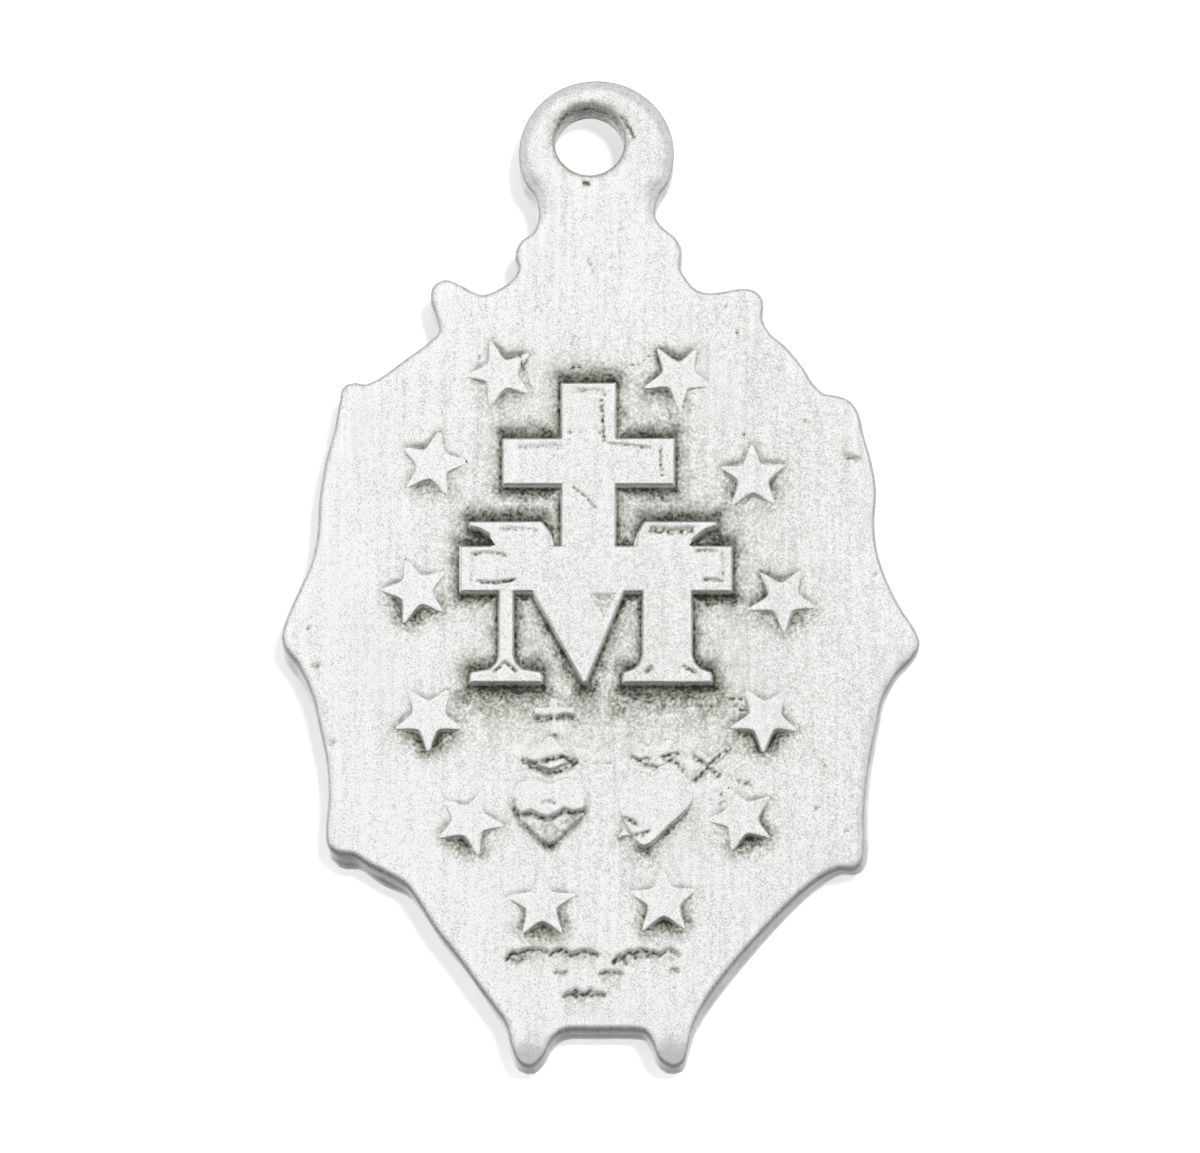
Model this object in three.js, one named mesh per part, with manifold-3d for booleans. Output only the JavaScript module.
import * as THREE from "three";
import { mergeVertices } from "three/addons/utils/BufferGeometryUtils.js";
import Module from "manifold-3d";

// A struck silver devotional medal, in millimetres, upright as it hangs.
// x is to the right as seen on the reverse, z is up and y runs through the medal.
// The reverse looks to -y, the obverse to +y, and the origin is the hanging hole's centre at mid-thickness.

// Plate
const thickness = 1.5;
const reverseEdgeRadius = 0.2;
const obverseEdgeRadius = 0.16;
const dieTurn = THREE.MathUtils.degToRad(1); // turn of the obverse outline against the reverse one
const dieCentre = new THREE.Vector2(0.25, -12.2);
const edgeSteps = 2;

// Hanging loop
const loopRadius = 1.88;
const loopCentre = new THREE.Vector2(0.25, -0.3);
const holeDiameter = 1.76;
const holeLip = 0.1; // how far the hole flares at each face
const neckHeight = -1.9; // where the loop leaves the plate

// Relief of the reverse: every device stands in its own sunk moat, its top level with the plate
const moatDepth = 0.24;
const moatFloorMargin = 0.05;
const moatRamp = 0.12;
const deviceBevel = 0.04;

// Stars
const starRadius = 0.9;
const starWaist = 0.42; // radius of the notches between the points

// Latin cross and the bar below it
const crossTop = -6.31;
const crossCentreX = -0.02;
const crossStemWidth = 1.38;
const crossArmTop = -7.74;
const crossArmHeight = 1.23;
const crossArmSpan = 4.32;
const barTop = -10.51;
const barHeight = 1.2;
const barLeft = -3.24;
const barLength = 6.82;

// Letter below and above the bar
const letterFoot = -14.0;
const footHeight = 0.3;
const footFlare = 0.13;
const serifTop = -9.88;
const leftStemX = -2.08;
const leftStemWidth = 0.38;
const leftFootWidth = 1.82;
const rightStemX = 1.95;
const rightStemWidth = 1.25;
const rightFootWidth = 2.25;

// Hearts
const heartInset = 0.07; // the left heart lies this far under its band of thorns
const bandTop = -16.78;
const bandHeight = 0.5;
const bandRipple = 0.05;

// Rows of worn marks
const markPitch = 0.29;
const upperMarks = 15;
const lowerMarks = 4;
const upperMarkHeight = 0.42;
const lowerMarkHeight = 0.3;
const markRowGap = 0.95;
const upperMarkRowZ = -21.06;
const markDepth = 0.06;

// Relief of the obverse
const ornamentHeight = 0.15; // ornament and rim above the border
const fieldDepth = 0.25; // the sunk oval field below the border
const ovalHalfWidth = 4.3;
const ovalHalfHeight = 6.5;
const rimGap = 0.12; // from the edge of the oval field to the rim
const rimWidth = 0.45;
const beadCount = 44;
const beadHeight = 0.14;
const beadBand = 0.32;
const mantleHeight = 0.15;
const robeHeight = 0.1;
const veilHeight = 0.05; // the veil lies this far over the mantle
const headHalfWidth = 0.46;
const headHalfLength = 0.62;
const headHeight = 0.2;
const handHeight = 0.1;
const rayHeight = 0.07;
const rayShare = 0.535; // the longest ray, as a share of the oval's half width
const rayCount = 5;
const globeShare = 0.314; // the globe's radius, as a share of the oval's half width
const globeRise = 0.85; // from the foot of the oval to the globe's centre
const globeHeight = 0.16;
const ribWidth = 0.3;
const ribInset = 0.4;
const voluteTurns = 1.25;
const voluteBevel = 0.025;
const shellRadius = 0.8;
const shellDrop = 1.65; // from the neck to the shell's centre
const shellLobes = 5;

const reverseY = -thickness / 2;
const obverseY = thickness / 2;
const moatY = reverseY + moatDepth;
const borderY = obverseY - ornamentHeight;
const fieldY = borderY - fieldDepth;

// Outline of the reverse below the loop, clockwise from the right side of the neck to the left side.
const outlineStations = [
  [1.8, -1.35], [1.66, -1.75], [1.7, -2.05], [1.9, -2.3], [2.15, -2.5], [2.31, -2.75], [2.34, -2.98],
  [2.3, -3.3], [2.45, -3.6], [2.68, -3.86], [2.95, -3.96], [3.35, -3.93], [3.85, -3.85], [4.2, -3.92],
  [4.4, -4.22], [4.36, -4.6], [4.52, -4.97], [4.95, -5.36], [5.38, -5.9], [5.65, -6.33], [5.91, -6.57],
  [6.25, -6.63], [6.55, -6.76], [6.76, -7.06], [6.9, -7.65], [7.09, -8.35], [7.2, -9.1], [7.15, -9.9],
  [7.22, -10.65], [7.46, -11.4], [7.81, -12.12], [8.15, -12.65], [8.26, -13.02], [8.08, -13.38],
  [7.7, -13.78], [7.32, -14.4], [7.1, -15.2], [6.9, -16.2], [6.79, -17.2], [6.78, -18.2], [6.7, -18.58],
  [6.48, -18.76], [6.15, -18.74], [5.78, -18.87], [5.25, -19.27], [4.6, -19.9], [3.9, -20.66],
  [3.34, -21.33], [2.86, -22.0], [2.52, -22.62], [2.37, -23.2], [2.27, -23.5], [2.02, -23.62],
  [1.76, -23.46], [1.58, -23.05], [1.36, -22.81], [1.0, -22.75], [0.22, -22.75], [-0.55, -22.76],
  [-0.8, -22.86], [-0.96, -23.1], [-1.16, -23.48], [-1.46, -23.66], [-1.74, -23.54], [-1.92, -23.2],
  [-2.09, -22.6], [-2.32, -22.15], [-2.7, -21.64], [-3.15, -21.0], [-3.76, -20.22], [-4.17, -19.57],
  [-4.5, -19.12], [-4.9, -18.87], [-5.42, -18.6], [-5.8, -18.36], [-6.2, -18.3], [-6.44, -18.1],
  [-6.5, -17.7], [-6.46, -16.9], [-6.52, -16.0], [-6.7, -15.15], [-6.94, -14.3], [-7.28, -13.58],
  [-7.6, -13.15], [-7.69, -12.83], [-7.55, -12.3], [-7.25, -11.6], [-6.96, -10.9], [-6.81, -10.1],
  [-6.78, -9.35], [-6.6, -8.35], [-6.38, -7.5], [-6.26, -6.8], [-6.16, -6.46], [-5.93, -6.31],
  [-5.6, -6.38], [-5.25, -6.23], [-4.65, -5.72], [-4.02, -5.25], [-3.72, -4.96], [-3.76, -4.6],
  [-3.9, -4.15], [-3.84, -3.8], [-3.55, -3.65], [-3.2, -3.78], [-2.7, -4.03], [-2.3, -3.9],
  [-1.9, -3.62], [-1.72, -3.35], [-1.8, -2.98], [-1.66, -2.62], [-1.36, -2.38], [-1.21, -1.98],
  [-1.3, -1.45],
];

// Centre and turn (degrees) of each star.
const stars = [
  [-2.26, -6.05, 180], [2.26, -6.1, 55], [-3.94, -8.39, 78.5], [4.09, -8.67, 91], [-4.4, -11.67, 179],
  [4.86, -11.85, 56], [-4.01, -14.85, 54], [4.39, -14.87, 52], [-3.05, -17.52, 67], [3.81, -17.55, 110],
  [-1.2, -19.67, 89], [1.83, -19.62, 92],
];

const wasm = await Module();
wasm.setup();

const silver = new THREE.MeshStandardMaterial({ color: 0xe6e6e2, roughness: 0.38, metalness: 0.95 });
const wornSilver = new THREE.MeshStandardMaterial({ color: 0xf0f0ec, roughness: 0.3, metalness: 0.95 });

const medal = new THREE.Group();
medal.name = "miraculous_medal";

function toSolid(geometry) {
  const bare = new THREE.BufferGeometry().setAttribute("position", geometry.getAttribute("position"));
  bare.setIndex(geometry.getIndex());
  const merged = mergeVertices(bare, 1e-4);
  return new wasm.Manifold(
    new wasm.Mesh({
      numProp: 3,
      vertProperties: new Float32Array(merged.attributes.position.array),
      triVerts: new Uint32Array(merged.index.array),
    }),
  );
}

function toGeometry(solid) {
  const mesh = solid.getMesh();
  const positions = new Float32Array(mesh.numVert * 3);
  for (let i = 0; i < mesh.numVert; i += 1) {
    positions.set(mesh.vertProperties.subarray(i * mesh.numProp, i * mesh.numProp + 3), i * 3);
  }
  const geometry = new THREE.BufferGeometry();
  geometry.setAttribute("position", new THREE.BufferAttribute(positions, 3));
  geometry.setIndex(new THREE.BufferAttribute(new Uint32Array(mesh.triVerts), 1));
  geometry.computeVertexNormals();
  return geometry;
}

function addPiece(name, solid, material = wornSilver) {
  const mesh = new THREE.Mesh(toGeometry(solid), material.clone());
  mesh.name = name;
  medal.add(mesh);
}

// A contour turned counterclockwise as seen on the reverse.
function facing(contour) {
  return THREE.ShapeUtils.isClockWise(contour) ? [...contour].reverse() : contour;
}

// The contour moved inwards by a distance, or outwards where it is negative, with mitred corners.
function inset(contour, distance) {
  const longestMitre = 2.2;
  return contour.map((point, i) => {
    const before = contour[(i + contour.length - 1) % contour.length];
    const after = contour[(i + 1) % contour.length];
    const arriving = point.clone().sub(before).normalize();
    const leaving = after.clone().sub(point).normalize();
    const normal = new THREE.Vector2(-arriving.y - leaving.y, arriving.x + leaving.x);
    const stretch = Math.min(2 / normal.lengthSq(), longestMitre / normal.length());
    return point.clone().addScaledVector(normal, stretch * distance);
  });
}

// A closed body through contours of equal length, each at its own y, from the lowest y up.
function stack(levels) {
  const count = levels[0].contour.length;
  const positions = levels.flatMap(({ y, contour }) => contour.flatMap((p) => [p.x, y, p.y]));
  const index = [];
  for (let level = 0; level + 1 < levels.length; level += 1) {
    for (let i = 0; i < count; i += 1) {
      const a = level * count + i;
      const b = level * count + ((i + 1) % count);
      index.push(a, a + count, b, b, a + count, b + count);
    }
  }
  const last = (levels.length - 1) * count;
  for (const [a, b, c] of THREE.ShapeUtils.triangulateShape(levels[0].contour, [])) {
    index.push(a, b, c);
  }
  for (const [a, b, c] of THREE.ShapeUtils.triangulateShape(levels.at(-1).contour, [])) {
    index.push(last + a, last + c, last + b);
  }
  const geometry = new THREE.BufferGeometry();
  geometry.setAttribute("position", new THREE.Float32BufferAttribute(positions, 3));
  geometry.setIndex(index);
  return toSolid(geometry);
}

// A flat device raised from baseY to topY, its top edge bevelled.
function relief(outline, baseY, topY, bevel = deviceBevel) {
  const contour = facing(outline);
  const levels = [
    { y: baseY, contour },
    { y: topY - Math.sign(topY - baseY) * bevel, contour },
    { y: topY, contour: inset(contour, bevel) },
  ];
  return stack(levels.sort((a, b) => a.y - b.y));
}

// A domed device: the outline shrinks along a quarter ellipse.
function dome(outline, centre, baseY, height) {
  const contour = facing(outline);
  const steps = 5;
  const levels = [];
  for (let i = 0; i <= steps; i += 1) {
    const angle = (i / steps) * THREE.MathUtils.degToRad(80);
    const shrunk = contour.map((p) => p.clone().sub(centre).multiplyScalar(Math.cos(angle)).add(centre));
    levels.push({ y: baseY + height * Math.sin(angle), contour: shrunk });
  }
  return stack(levels);
}

function points(pairs) {
  return pairs.map(([x, z]) => new THREE.Vector2(x, z));
}

function smooth(pairs, divisions) {
  const curve = new THREE.CatmullRomCurve3(
    pairs.map(([x, z]) => new THREE.Vector3(x, z, 0)),
    true,
    "centripetal",
  );
  return curve.getPoints(pairs.length * divisions).slice(0, -1).map((p) => new THREE.Vector2(p.x, p.y));
}

function mirrored(pairs) {
  return [...pairs, ...pairs.filter(([x]) => x > 0).reverse().map(([x, z]) => [-x, z])];
}

function ellipse(centre, halfWidth, halfHeight, count) {
  const curve = new THREE.EllipseCurve(centre.x, centre.y, halfWidth, halfHeight);
  return curve.getPoints(count).slice(0, -1);
}

function turned(contour, centre, angle) {
  return contour.map((p) => p.clone().rotateAround(centre, angle));
}

function placed(contour, x, z) {
  const shift = new THREE.Vector2(x, z);
  return contour.map((p) => p.clone().add(shift));
}

// Plate and loop: one outline from arc and spline, lofted from the reverse to the turned obverse outline.
const loopArc = [];
for (let degrees = 200; degrees >= -24; degrees -= 14) {
  const angle = THREE.MathUtils.degToRad(degrees);
  loopArc.push([loopCentre.x + loopRadius * Math.cos(angle), loopCentre.y + loopRadius * Math.sin(angle)]);
}
const reverseOutline = facing(smooth([...loopArc, ...outlineStations], 2));
const obverseOutline = turned(reverseOutline, dieCentre, dieTurn);

const blankLevels = [];
for (let i = 0; i <= edgeSteps; i += 1) {
  const angle = (i / edgeSteps) * (Math.PI / 2);
  blankLevels.push({
    y: reverseY + reverseEdgeRadius * (1 - Math.cos(angle)),
    contour: inset(reverseOutline, reverseEdgeRadius * (1 - Math.sin(angle))),
  });
}
for (let i = 0; i <= edgeSteps; i += 1) {
  const angle = (i / edgeSteps) * (Math.PI / 2);
  blankLevels.push({
    y: borderY - obverseEdgeRadius * (1 - Math.sin(angle)),
    contour: inset(obverseOutline, obverseEdgeRadius * (1 - Math.cos(angle))),
  });
}
const blank = stack(blankLevels);

const halfSpace = 60;
function halfSpaceAbove(z) {
  const box = new THREE.BoxGeometry(halfSpace, halfSpace, halfSpace);
  box.translate(0, 0, z + halfSpace / 2);
  return toSolid(box);
}
const loopSide = halfSpaceAbove(neckHeight);

// The hole's cutter: straight in the middle, flared to a round lip at both faces.
const holeProfile = [];
const lipSteps = 3;
const holeRadius = holeDiameter / 2;
holeProfile.push([0, reverseY - 1]);
holeProfile.push([holeRadius + holeLip, reverseY - 1]);
for (let i = 0; i <= lipSteps; i += 1) {
  const angle = (i / lipSteps) * (Math.PI / 2);
  const flare = holeLip * (1 - Math.sin(angle));
  holeProfile.push([holeRadius + flare, reverseY + holeLip * (1 - Math.cos(angle))]);
}
for (let i = 0; i <= lipSteps; i += 1) {
  const angle = (i / lipSteps) * (Math.PI / 2);
  const flare = holeLip * (1 - Math.cos(angle));
  holeProfile.push([holeRadius + flare, borderY - holeLip * (1 - Math.sin(angle))]);
}
holeProfile.push([holeRadius + holeLip, obverseY + 1]);
holeProfile.push([0, obverseY + 1]);
const holeCutter = toSolid(new THREE.LatheGeometry(points(holeProfile), 48));

addPiece("hanging_loop", blank.intersect(loopSide).subtract(holeCutter), silver);

// Devices of the reverse: an outline each, gathered so that the plate gets a moat round every one.
const reverseDevices = new Map();

stars.forEach(([x, z, degrees], i) => {
  const outline = [];
  for (let k = 0; k < 10; k += 1) {
    const angle = THREE.MathUtils.degToRad(degrees + 36 * k);
    const radius = k % 2 === 0 ? starRadius : starWaist;
    outline.push([x + radius * Math.cos(angle), z + radius * Math.sin(angle)]);
  }
  reverseDevices.set(`star_${String(i + 1).padStart(2, "0")}`, points(outline));
});

const armBottom = crossArmTop - crossArmHeight;
const stemHalf = crossStemWidth / 2;
const armHalf = crossArmSpan / 2;
reverseDevices.set(
  "cross",
  points([
    [-stemHalf, crossTop], [stemHalf, crossTop], [stemHalf, crossArmTop], [armHalf, crossArmTop],
    [armHalf, armBottom], [stemHalf, armBottom], [stemHalf, barTop], [-stemHalf, barTop],
    [-stemHalf, armBottom], [-armHalf, armBottom], [-armHalf, crossArmTop], [-stemHalf, crossArmTop],
  ]).map((p) => p.setX(p.x + crossCentreX)),
);

const barBottom = barTop - barHeight;
const barRight = barLeft + barLength;
reverseDevices.set(
  "cross_bar",
  points([[barLeft, barTop], [barRight, barTop], [barRight, barBottom], [barLeft, barBottom]]),
);

// The letter: two serifs on the bar, and two footed stems and a chevron hanging from it.
reverseDevices.set(
  "letter_serif_left",
  points([
    [-3.02, serifTop], [-1.2, serifTop], [-0.98, -10.15], [-0.9, barTop], [-2.35, barTop],
    [-2.52, -10.24], [-2.76, -10.1], [-3.02, serifTop - 0.16],
  ]),
);
reverseDevices.set(
  "letter_serif_right",
  points([
    [1.38, serifTop], [3.2, serifTop], [3.2, serifTop - 0.14], [2.9, -10.13], [2.6, -10.36],
    [2.5, barTop], [1.12, barTop], [1.2, -10.2],
  ]),
);

function footedStem(x, stemWidth, footWidth) {
  const stem = stemWidth / 2;
  const foot = footWidth / 2;
  const shoulder = letterFoot + footHeight;
  const right = [
    [stem, barBottom], [stem, shoulder + 2.5 * footFlare], [stem + footFlare, shoulder + footFlare],
    [foot, shoulder], [foot, letterFoot],
  ];
  return points([...right, ...right.map(([dx, z]) => [-dx, z]).reverse()].map(([dx, z]) => [x + dx, z]));
}
reverseDevices.set("letter_stem_left", footedStem(leftStemX, leftStemWidth, leftFootWidth));
reverseDevices.set("letter_stem_right", footedStem(rightStemX, rightStemWidth, rightFootWidth));
reverseDevices.set(
  "letter_chevron",
  points([
    [-1.44, barBottom], [-0.02, barBottom], [0.34, -12.26], [0.58, barBottom], [0.87, barBottom],
    [-0.08, letterFoot], [-0.16, letterFoot],
  ]),
);

// Left heart with its band of thorns, flame and small cross.
const leftHeart = smooth(
  [
    [-1.0, -18.1], [-1.45, -17.74], [-1.8, -17.35], [-1.92, -16.95], [-1.78, -16.6], [-1.4, -16.44],
    [-1.0, -16.58], [-0.6, -16.42], [-0.25, -16.55], [-0.06, -16.9], [-0.12, -17.3], [-0.52, -17.72],
  ],
  2,
);
const bandOutline = [];
const bandSteps = 12;
for (let i = 0; i <= bandSteps; i += 1) {
  bandOutline.push([-1.84 + (i / bandSteps) * 1.72, bandTop + bandRipple * (i % 2)]);
}
for (let i = bandSteps; i >= 0; i -= 1) {
  bandOutline.push([-1.8 + (i / bandSteps) * 1.64, bandTop - bandHeight - bandRipple * (i % 2)]);
}
reverseDevices.set(
  "flame_left",
  smooth(
    [
      [-0.97, -16.24], [-1.25, -16.1], [-1.55, -15.96], [-1.3, -15.76], [-1.15, -15.52], [-0.97, -15.36],
      [-0.8, -15.54], [-0.62, -15.76], [-0.35, -15.94], [-0.7, -16.12],
    ],
    2,
  ),
);
const smallArmHalf = 0.48;
const smallStemHalf = 0.09;
reverseDevices.set(
  "heart_cross",
  points([
    [-smallStemHalf, -14.4], [smallStemHalf, -14.4], [smallStemHalf, -14.64], [smallArmHalf, -14.64],
    [smallArmHalf, -14.86], [smallStemHalf, -14.86], [smallStemHalf, -15.34], [-smallStemHalf, -15.34],
    [-smallStemHalf, -14.86], [-smallArmHalf, -14.86], [-smallArmHalf, -14.64], [-smallStemHalf, -14.64],
  ]).map((p) => p.setX(p.x - 0.87)),
);

// Right heart with its flame, and the sword that runs through it.
reverseDevices.set(
  "heart_right",
  smooth(
    [
      [1.35, -18.18], [1.0, -17.76], [0.78, -17.3], [0.74, -16.85], [0.95, -16.44], [1.3, -16.3],
      [1.6, -16.4], [1.92, -16.24], [2.28, -16.28], [2.53, -16.62], [2.52, -17.1], [1.98, -17.66],
    ],
    2,
  ),
);
reverseDevices.set(
  "flame_right",
  smooth(
    [
      [1.62, -16.16], [1.35, -16.06], [1.08, -15.86], [1.3, -15.54], [1.48, -15.64], [1.64, -15.38],
      [1.82, -15.54], [2.02, -15.46], [2.22, -15.78], [1.92, -16.04],
    ],
    2,
  ),
);
reverseDevices.set(
  "sword_hilt",
  points([
    [2.64, -16.54], [3.02, -16.22], [3.16, -16.4], [3.3, -16.3], [3.12, -16.06], [3.52, -15.74],
    [3.42, -15.6], [3.0, -15.92], [2.72, -15.7], [2.6, -15.83], [2.88, -16.1], [2.62, -16.36],
  ]),
);
reverseDevices.set("sword_tip", points([[0.86, -17.7], [0.7, -17.96], [1.04, -17.88]]));

// Worn marks: two scalloped rows.
function markRow(x, z, count, height) {
  const upper = [];
  const samples = 4;
  for (let i = 0; i <= count * samples; i += 1) {
    const swell = 0.62 + 0.38 * Math.abs(Math.sin((i / samples) * Math.PI));
    upper.push([x + (i / samples - count / 2) * markPitch, (height / 2) * swell]);
  }
  const upperSide = upper.map(([px, h]) => [px, z + h]);
  const lowerSide = upper.reverse().map(([px, h]) => [px, z - h]);
  return points([...upperSide, ...lowerSide]);
}
reverseDevices.set("mark_row_upper", markRow(0.1, upperMarkRowZ, upperMarks, upperMarkHeight));
reverseDevices.set("mark_row_lower", markRow(0, upperMarkRowZ - markRowGap, lowerMarks, lowerMarkHeight));

// Each moat is wider at the plate's face than at its floor. A small device has a plain convex one.
const wornMarks = ["mark_row_upper", "mark_row_lower"];
const smallDevices = ["flame_left", "flame_right", "heart_cross", "sword_hilt", "sword_tip", ...wornMarks];
function floorOf(name) {
  return wornMarks.includes(name) ? reverseY + markDepth : moatY;
}

function turnOf(a, b, c) {
  return b.clone().sub(a).cross(c.clone().sub(b));
}

function convexHull(outline) {
  const sorted = [...outline].sort((a, b) => a.x - b.x || a.y - b.y);
  const chain = (path) => {
    const kept = [];
    for (const p of path) {
      while (kept.length > 1 && turnOf(kept.at(-2), kept.at(-1), p) <= 1e-6) {
        kept.pop();
      }
      kept.push(p);
    }
    return kept.slice(0, -1);
  };
  return [...chain(sorted), ...chain(sorted.reverse())];
}

function moat(name, outline, floorY) {
  const contour = facing(smallDevices.includes(name) ? convexHull(outline) : outline);
  const margin = moatFloorMargin + moatRamp;
  return stack([
    { y: reverseY - 1, contour: inset(contour, -margin) },
    { y: reverseY, contour: inset(contour, -margin) },
    { y: floorY, contour: inset(contour, -moatFloorMargin) },
  ]);
}

const oval = ellipse(dieCentre, ovalHalfWidth, ovalHalfHeight, 72);
const fieldCutter = relief(oval, fieldY, obverseY + 1, 0);

let plate = blank.subtract(loopSide).subtract(fieldCutter);
reverseDevices.set("heart_left", leftHeart);
for (const [name, outline] of reverseDevices) {
  plate = plate.subtract(moat(name, outline, floorOf(name)));
}
addPiece("medal_plate", plate, silver);

for (const [name, outline] of reverseDevices) {
  const topY = name === "heart_left" ? reverseY + heartInset : reverseY;
  const bevel = wornMarks.includes(name) ? markDepth / 3 : deviceBevel;
  addPiece(name, relief(outline, floorOf(name), topY, bevel));
}
addPiece("thorn_band", relief(points(bandOutline), reverseY + heartInset, reverseY, heartInset / 3));

// Rim on the border round the oval field, and a ring of beads inside it.
function ring(outer, inner, baseY, topY, bevel) {
  return relief(outer, baseY, topY, bevel).subtract(relief(inner, baseY - 1, topY + 1, 0));
}
const rimInner = inset(oval, -rimGap);
const rimOuter = inset(oval, -(rimGap + rimWidth));
addPiece("oval_rim", ring(rimOuter, rimInner, borderY, obverseY, deviceBevel), silver);

const beadInner = [];
const samplesPerBead = 3;
for (let i = 0; i < beadCount * samplesPerBead; i += 1) {
  const share = i / samplesPerBead;
  const angle = (share / beadCount) * 2 * Math.PI;
  const reach = beadBand * (0.6 + 0.4 * Math.abs(Math.sin(share * Math.PI)));
  const x = dieCentre.x + (ovalHalfWidth - reach) * Math.cos(angle);
  const z = dieCentre.y + (ovalHalfHeight - reach) * Math.sin(angle);
  beadInner.push(new THREE.Vector2(x, z));
}
const beadY = fieldY + beadHeight;
addPiece("bead_ring", ring(inset(oval, 0.02), beadInner, fieldY, beadY, deviceBevel / 2), silver);

// The standing figure on its globe, its pieces laid one on the other from the field up.
// Half outlines, from the top down, in shares of the oval's half width and half height.
const globeRadius = globeShare * ovalHalfWidth;
const globeCentre = new THREE.Vector2(dieCentre.x, dieCentre.y - ovalHalfHeight + globeRise);
const footShare = (globeCentre.y + globeRadius - dieCentre.y) / ovalHalfHeight;
const mantleY = fieldY + mantleHeight;
const robeY = mantleY + robeHeight;
const veilY = mantleY + veilHeight;
const mantleHalf = [
  [0.144, 0.577], [0.244, 0.523], [0.349, 0.415], [0.453, 0.246], [0.581, 0.077], [0.637, -0.031],
  [0.512, -0.065], [0.465, -0.2], [0.43, -0.4], [0.372, -0.6], [0.302, footShare],
];
const robeHalf = [
  [0.079, 0.492], [0.153, 0.385], [0.167, 0.231], [0.144, 0.108], [0.186, -0.092], [0.233, -0.338],
  [0.26, -0.6], [0.244, footShare],
];
const veilHalf = [
  [0.07, 0.831], [0.158, 0.777], [0.2, 0.677], [0.209, 0.577], [0.233, 0.477], [0.116, 0.438],
];

function inOval(x, z) {
  return new THREE.Vector2(dieCentre.x + x * ovalHalfWidth, dieCentre.y + z * ovalHalfHeight);
}
function onField(half) {
  return mirrored(half).map(([x, z]) => inOval(x, z));
}
const mantle = relief(onField(mantleHalf), fieldY, mantleY);
const robe = relief(onField(robeHalf), mantleY, robeY);
const veil = relief(onField(veilHalf), fieldY, veilY)
  .subtract(relief(onField(mantleHalf), fieldY - 1, mantleY, 0))
  .subtract(relief(onField(robeHalf), mantleY, robeY, 0));
addPiece("figure_mantle", mantle);
addPiece("figure_robe", robe);
addPiece("figure_veil", veil);

const headCentre = inOval(0, 0.685);
const headOutline = ellipse(headCentre, headHalfWidth, headHalfLength, 20);
addPiece("figure_head", dome(headOutline, headCentre, veilY, headHeight));

// A fan of tapered rays below each hand, joined at its root.
const rayLength = rayShare * ovalHalfWidth;
function fan(root, side) {
  const outline = [[root.x, root.y]];
  const rootReach = 0.3;
  const spread = THREE.MathUtils.degToRad(3);
  for (let i = 0; i < rayCount; i += 1) {
    const angle = THREE.MathUtils.degToRad(-100 + 24 * i);
    const tip = rayLength * (1 - 0.13 * i);
    const corners = [
      [rootReach, -2 * spread], [tip, -spread / 2],
      [tip, spread / 2], [rootReach, 2 * spread],
    ];
    for (const [reach, turn] of corners) {
      const run = side * reach * Math.cos(angle + turn);
      outline.push([root.x + run, root.y + reach * Math.sin(angle + turn)]);
    }
  }
  return points(outline);
}
for (const [label, side] of [["left", 1], ["right", -1]]) {
  const hand = inOval(side * 0.549, -0.003);
  addPiece(`figure_hand_${label}`, dome(ellipse(hand, 0.28, 0.22, 14), hand, mantleY, handHeight));
  const root = inOval(side * 0.572, -0.077);
  addPiece(`rays_${label}`, relief(fan(root, side), fieldY, fieldY + rayHeight, rayHeight / 3));
}

const globeDip = 0.1; // radians that the globe's arc runs on below its centre
const globeArc = new THREE.EllipseCurve(
  globeCentre.x, globeCentre.y, globeRadius, globeRadius, -globeDip, Math.PI + globeDip,
);
addPiece("globe", dome(globeArc.getPoints(24), globeCentre, fieldY, globeHeight));

// Scrolled border: volutes at the cusps of the outline, ribs along its sides and a shell at the crest.
function volute(x, z, radius, startDegrees, hand) {
  const steps = 22;
  const sides = { outer: [], inner: [] };
  for (let i = 0; i <= steps; i += 1) {
    const t = i / steps;
    const angle = THREE.MathUtils.degToRad(startDegrees) + hand * t * voluteTurns * 2 * Math.PI;
    const centreLine = radius * (1 - 0.72 * t);
    const half = radius * (0.09 + 0.06 * Math.min(1, 2 * t));
    for (const [side, reach] of [["outer", centreLine + half], ["inner", centreLine - half]]) {
      sides[side].push([x + reach * Math.cos(angle), z + reach * Math.sin(angle)]);
    }
  }
  return points([...sides.outer, ...sides.inner.reverse()]);
}
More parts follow.
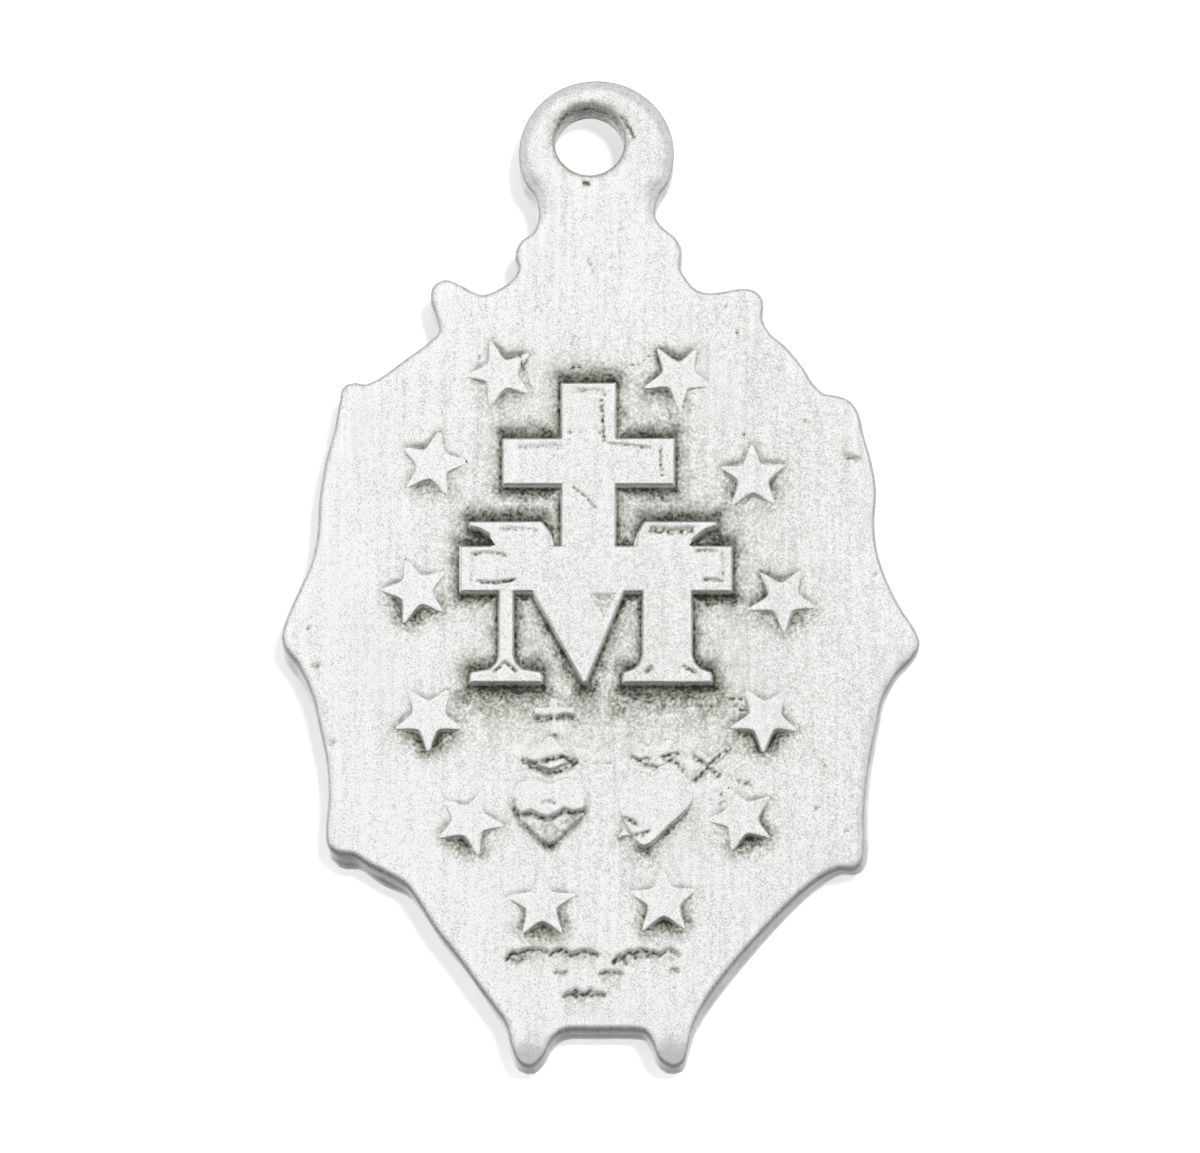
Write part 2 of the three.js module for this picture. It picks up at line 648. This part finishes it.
// Name, centre x and z, radius, start in degrees and hand of each volute, as seen on the reverse.
const volutes = [
  ["ear_right", 3.5, -4.85, 0.62, 150, -1], ["ear_left", -3.0, -4.75, 0.6, 30, 1],
  ["shoulder_right", 5.7, -7.6, 0.85, -60, 1], ["shoulder_left", -5.35, -7.3, 0.8, 240, -1],
  ["flank_right", 6.75, -13.0, 1.0, 130, -1], ["flank_left", -6.2, -12.9, 1.0, 50, 1],
  ["corner_right", 5.75, -17.75, 0.85, 80, -1], ["corner_left", -5.55, -17.35, 0.8, 100, 1],
  ["foot_right", 2.2, -21.9, 0.5, 60, -1], ["foot_left", -1.65, -22.05, 0.5, 120, 1],
];
for (const [place, x, z, radius, startDegrees, hand] of volutes) {
  const outline = volute(x, z, radius, startDegrees, hand);
  addPiece(`volute_${place}`, relief(outline, borderY, obverseY, voluteBevel), silver);
}

const ribOuter = inset(obverseOutline, ribInset);
const ribInner = inset(obverseOutline, ribInset + ribWidth);
function rib(side, upperZ, lowerZ) {
  const run = [];
  obverseOutline.forEach((p, i) => {
    if (side * (p.x - dieCentre.x) > 0 && p.y < upperZ && p.y > lowerZ) {
      run.push(i);
    }
  });
  return [...run.map((i) => ribOuter[i]), ...run.reverse().map((i) => ribInner[i])];
}
const ribSpans = [["upper", -8.6, -11.6], ["lower", -14.4, -16.9], ["foot", -19.4, -21.3]];
for (const [place, upperZ, lowerZ] of ribSpans) {
  addPiece(`rib_${place}_right`, relief(rib(1, upperZ, lowerZ), borderY, obverseY), silver);
  addPiece(`rib_${place}_left`, relief(rib(-1, upperZ, lowerZ), borderY, obverseY), silver);
}

const shell = [];
const shellSteps = 30;
for (let i = 0; i <= shellSteps; i += 1) {
  const share = i / shellSteps;
  const angle = THREE.MathUtils.degToRad(-25 + 230 * share);
  const reach = shellRadius * (0.72 + 0.28 * Math.abs(Math.sin(share * shellLobes * Math.PI)));
  shell.push([reach * Math.cos(angle), reach * Math.sin(angle)]);
}
const shellOutline = placed(points(shell), loopCentre.x, neckHeight - shellDrop);
addPiece("crest_shell", relief(shellOutline, borderY, obverseY), silver);

export default medal;
